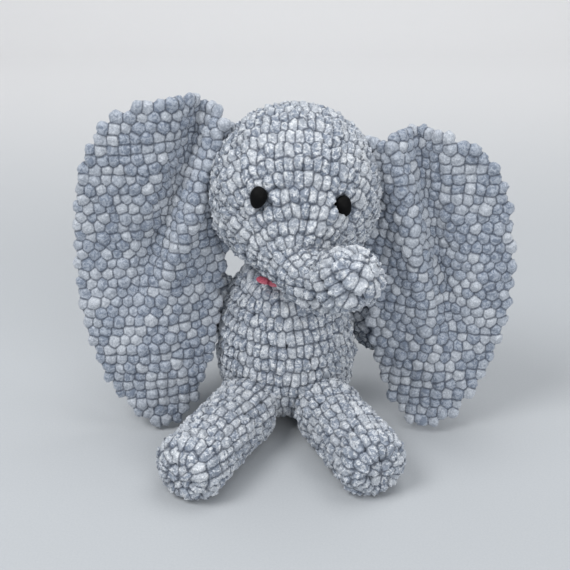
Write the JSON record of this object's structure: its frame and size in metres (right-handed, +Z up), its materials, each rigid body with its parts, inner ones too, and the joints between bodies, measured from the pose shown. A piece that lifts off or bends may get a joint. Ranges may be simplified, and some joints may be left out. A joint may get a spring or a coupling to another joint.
{
  "type": "stuffed elephant",
  "caption": "Crocheted stuffed elephant in pale blue-grey plush yarn, sitting, with very large hanging ears, a trunk curled aside, domed eyes and a pink stitched mouth.",
  "frame": {"origin": "on the surface the toy sits on, under the middle of its body", "axes": "+Z up; the face looks along -Y; +X is the elephant's own left"},
  "size_m": [0.2546, 0.1797, 0.1981],
  "materials": {
    "yarn": "plush chenille crochet",
    "ear_yarn": "plush chenille crochet, worked flat",
    "sewing_yarn": "plush chenille yarn",
    "mouth_yarn": "pink yarn",
    "stuffing": "loose fibre",
    "eye": "black, half gloss",
    "washer": "moulded"
  },
  "bodies": {
    "body": {"body_cover": "yarn", "body_stuffing": "stuffing"},
    "neck": {"neck_seam": "sewing_yarn"},
    "head": {"head_cover": "yarn", "head_stuffing": "stuffing", "left_eye": "eye", "right_eye": "eye", "left_eye_washer": "washer", "right_eye_washer": "washer", "mouth": "mouth_yarn", "left_ear_seam": "sewing_yarn", "right_ear_seam": "sewing_yarn"},
    "trunk": {"trunk_cover": "yarn", "trunk_stuffing": "stuffing"},
    "left_ear": {"left_ear": "ear_yarn"},
    "right_ear": {"right_ear": "ear_yarn"},
    "left_leg": {"left_leg_cover": "yarn", "left_leg_stuffing": "stuffing"},
    "right_leg": {"right_leg_cover": "yarn", "right_leg_stuffing": "stuffing"},
    "left_arm": {"left_arm_cover": "yarn", "left_arm_stuffing": "stuffing"},
    "right_arm": {"right_arm_cover": "yarn", "right_arm_stuffing": "stuffing"},
    "tail": {"tail": "yarn", "tail_tuft": "yarn"}
  },
  "joints": [
    {"name": "head_turn", "type": "hinge", "parent": "body", "child": "neck", "pos_m": [0, 0, 0.064], "axis": [0, 0, 1], "range_deg": [-10, 10], "stiffness_Nm_per_rad": 0.5},
    {"name": "head_nod", "type": "hinge", "parent": "neck", "child": "head", "pos_m": [0, 0, 0.064], "axis": [1, 0, 0], "range_deg": [-8, 10], "stiffness_Nm_per_rad": 2},
    {"name": "trunk_swing", "type": "hinge", "parent": "head", "child": "trunk", "pos_m": [0.00673, -0.05468, 0.11413], "axis": [0, 0, 1], "range_deg": [-15, 12], "stiffness_Nm_per_rad": 0.03},
    {"name": "left_ear_flap", "type": "hinge", "parent": "head", "child": "left_ear", "pos_m": [0.047, 0.004, 0.144], "axis": [0, 0, 1], "range_deg": [-5, 25]},
    {"name": "right_ear_flap", "type": "hinge", "parent": "head", "child": "right_ear", "pos_m": [-0.037, 0.004, 0.144], "axis": [0, 0, -1], "range_deg": [-5, 25]},
    {"name": "left_leg_lift", "type": "hinge", "parent": "body", "child": "left_leg", "pos_m": [0.02475, -0.04287, 0.018], "axis": [-0.9205, -0.3907, 0], "range_deg": [0, 35]},
    {"name": "right_leg_lift", "type": "hinge", "parent": "body", "child": "right_leg", "pos_m": [-0.02475, -0.04287, 0.018], "axis": [-0.8988, 0.4384, 0], "range_deg": [0, 35]},
    {"name": "left_arm_raise", "type": "hinge", "parent": "body", "child": "left_arm", "pos_m": [0.04443, 0.01191, 0.07], "axis": [0.2588, -0.9659, 0], "range_deg": [-8, 50]},
    {"name": "right_arm_raise", "type": "hinge", "parent": "body", "child": "right_arm", "pos_m": [-0.04443, 0.01191, 0.07], "axis": [0.2588, 0.9659, 0], "range_deg": [-8, 50]},
    {"name": "tail_wag", "type": "hinge", "parent": "body", "child": "tail", "pos_m": [0, 0.0446, 0.027], "axis": [0, 0, 1], "range_deg": [-35, 35]}
  ]
}
